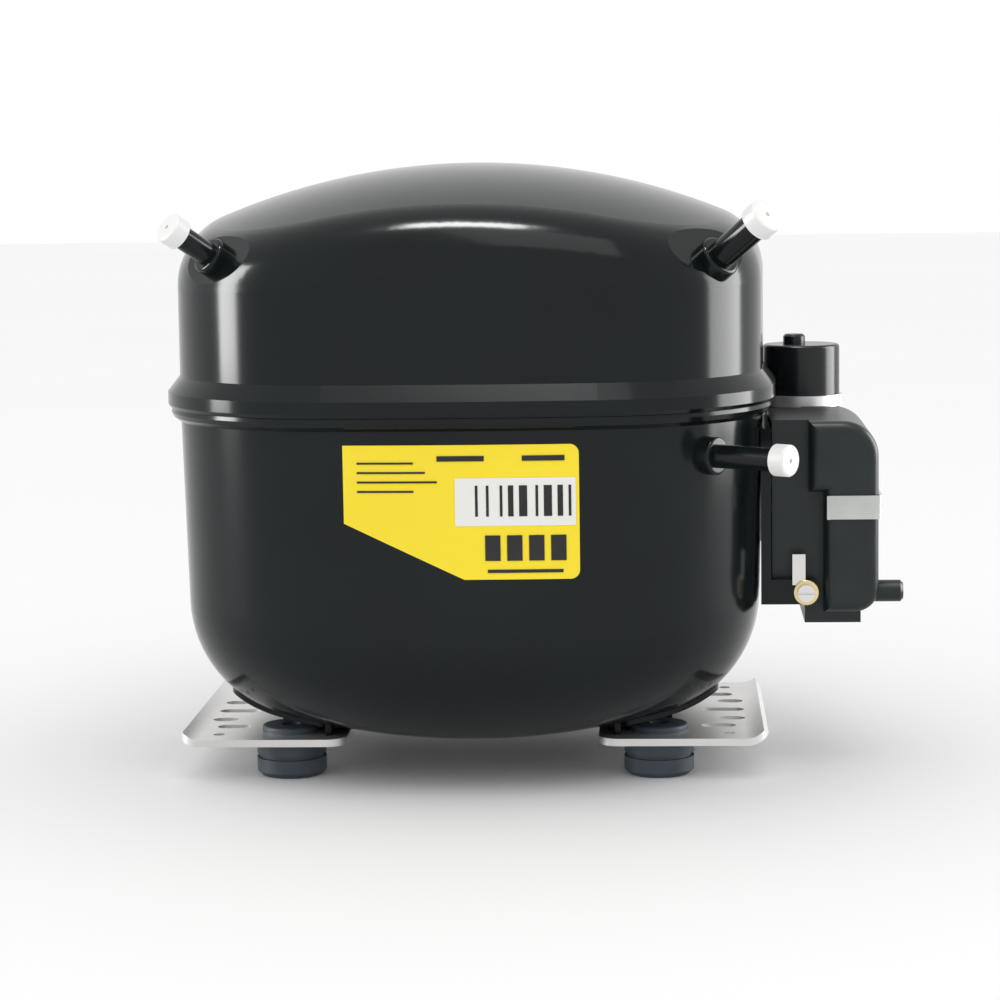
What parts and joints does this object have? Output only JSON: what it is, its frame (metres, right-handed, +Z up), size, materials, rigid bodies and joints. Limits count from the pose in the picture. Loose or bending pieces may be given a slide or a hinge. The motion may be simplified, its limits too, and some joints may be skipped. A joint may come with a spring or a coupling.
{
  "type": "hermetic reciprocating compressor",
  "caption": "Welded-shell hermetic refrigeration compressor with spring-hung motor and slide-block pump, tube connectors, terminal cover and rubber-mounted base plates.",
  "frame": {"origin": "on the ground, at the centre of the grommet hole pattern", "axes": "+X towards the terminal cover, -Y towards the labelled front, +Z up along the crankshaft"},
  "size_m": [0.2514, 0.1894, 0.209],
  "materials": {
    "shell_paint": "gloss black stove enamel",
    "zinc_plate": "bright zinc-plated steel",
    "grommet_rubber": "dark blue-grey rubber",
    "cap_plastic": "white polythene",
    "label_film": null,
    "box_plastic": "black moulded plastic",
    "spring_steel": "spring steel",
    "brass": "plain brass",
    "bare_steel": "machined steel",
    "cast_iron": "as cast",
    "aluminium": "die cast",
    "copper_wire": "enamelled copper wire",
    "sealing_glass": "sealing glass",
    "gasket": "fibre gasket",
    "white_plastic": "natural moulded plastic",
    "capacitor_plastic": "black moulded can"
  },
  "bodies": {
    "shell": {"upper_shell": "shell_paint", "lower_shell": "shell_paint", "weld_bead": "shell_paint", "base_plate_left": "zinc_plate", "base_plate_right": "zinc_plate", "saddle_left": "shell_paint", "saddle_right": "shell_paint", "rubber_grommets": "grommet_rubber", "label_plate": "label_film", "suction_connector": "shell_paint", "process_connector": "shell_paint", "discharge_connector": "shell_paint", "terminal_cup": "zinc_plate", "glass_beads": "sealing_glass", "terminal_pins": "bare_steel", "terminal_bracket": "shell_paint", "start_relay": "box_plastic", "overload_protector": "box_plastic", "earth_screw": "zinc_plate", "earth_eyelet": "brass", "earth_tab": "zinc_plate", "start_capacitor": "capacitor_plastic", "capacitor_stud": "capacitor_plastic", "capacitor_strap": "zinc_plate", "spring_seats": "bare_steel", "suspension_springs": "spring_steel", "lead_plug": "box_plastic", "motor_leads": "copper_wire", "discharge_loop": "bare_steel"},
    "cover": {"terminal_cover": "box_plastic", "cover_clip": "spring_steel", "cord_relief": "box_plastic"},
    "suction_plug": {"suction_cap": "cap_plastic"},
    "process_plug": {"process_cap": "cap_plastic"},
    "discharge_plug": {"discharge_cap": "cap_plastic"},
    "pump": {"stator_core": "bare_steel", "stator_winding": "copper_wire", "stator_bolts": "bare_steel", "spring_pegs": "white_plastic", "pump_frame": "cast_iron", "thrust_washer": "bare_steel", "cylinder_gasket": "gasket", "suction_leaf_frame": "spring_steel", "valve_plate": "bare_steel", "head_gasket": "gasket", "cylinder_head": "aluminium", "head_bolts": "bare_steel", "suction_muffler": "white_plastic"},
    "crank": {"crankshaft": "cast_iron", "counterweight": "bare_steel", "rotor_core": "bare_steel", "rotor_cage": "aluminium", "oil_pickup": "bare_steel"},
    "oil_plug": {"gallery_plug": "bare_steel"},
    "block": {"slide_block": "bare_steel"},
    "piston": {"piston": "bare_steel"},
    "suction_valve": {"suction_reed": "spring_steel"},
    "discharge_valve": {"discharge_reed": "spring_steel"}
  },
  "joints": [
    {"name": "suspension_bounce", "type": "slide", "parent": "shell", "child": "pump", "axis": [0, 0, 1], "range_m": [-0.003, 0.002], "stiffness_N_per_m": 39665, "springref_m": 0.00204, "deforming": ["suspension_springs", "discharge_loop", "motor_leads"]},
    {"name": "crank_spin", "type": "hinge", "parent": "pump", "child": "crank", "pos_m": [0, 0, 0.14], "axis": [0, 0, 1], "continuous": true},
    {"name": "block_turn", "type": "hinge", "parent": "crank", "child": "block", "pos_m": [-0.0105, 0, 0.16], "axis": [0, 0, 1], "continuous": true},
    {"name": "plug_turn", "type": "hinge", "parent": "crank", "child": "oil_plug", "pos_m": [-0.00525, 0, 0.14], "axis": [0, 0, 1], "continuous": true},
    {"name": "piston_stroke", "type": "hinge", "parent": "oil_plug", "child": "piston", "pos_m": [-0.0105, 0, 0.16], "axis": [0, 0, 1], "continuous": true},
    {"name": "suction_reed_flex", "type": "hinge", "parent": "pump", "child": "suction_valve", "pos_m": [-0.06275, -0.011, 0.16], "axis": [0, 0, 1], "range_deg": [-4, 0], "stiffness_Nm_per_rad": 0.05},
    {"name": "discharge_reed_flex", "type": "hinge", "parent": "pump", "child": "discharge_valve", "pos_m": [-0.06497, 0.0155, 0.16], "axis": [0, 0, 1], "range_deg": [-4, 0], "stiffness_Nm_per_rad": 0.05},
    {"name": "cover_pull", "type": "slide", "parent": "shell", "child": "cover", "axis": [1, 0, 0], "range_m": [0, 0.06]},
    {"name": "suction_cap_pull", "type": "slide", "parent": "shell", "child": "suction_plug", "axis": [0.6275, -0.5265, 0.5736], "range_m": [0, 0.08]},
    {"name": "process_cap_pull", "type": "slide", "parent": "shell", "child": "process_plug", "axis": [-0.6496, -0.5451, 0.5299], "range_m": [0, 0.08]},
    {"name": "discharge_cap_pull", "type": "slide", "parent": "shell", "child": "discharge_plug", "axis": [0.809, -0.5878, 0], "range_m": [0, 0.08]}
  ],
  "couplings": [
    {"joint": "block_turn", "follows": "crank_spin", "ratio": -1},
    {"joint": "plug_turn", "follows": "crank_spin", "ratio": -2},
    {"joint": "piston_stroke", "follows": "crank_spin", "ratio": 1}
  ]
}
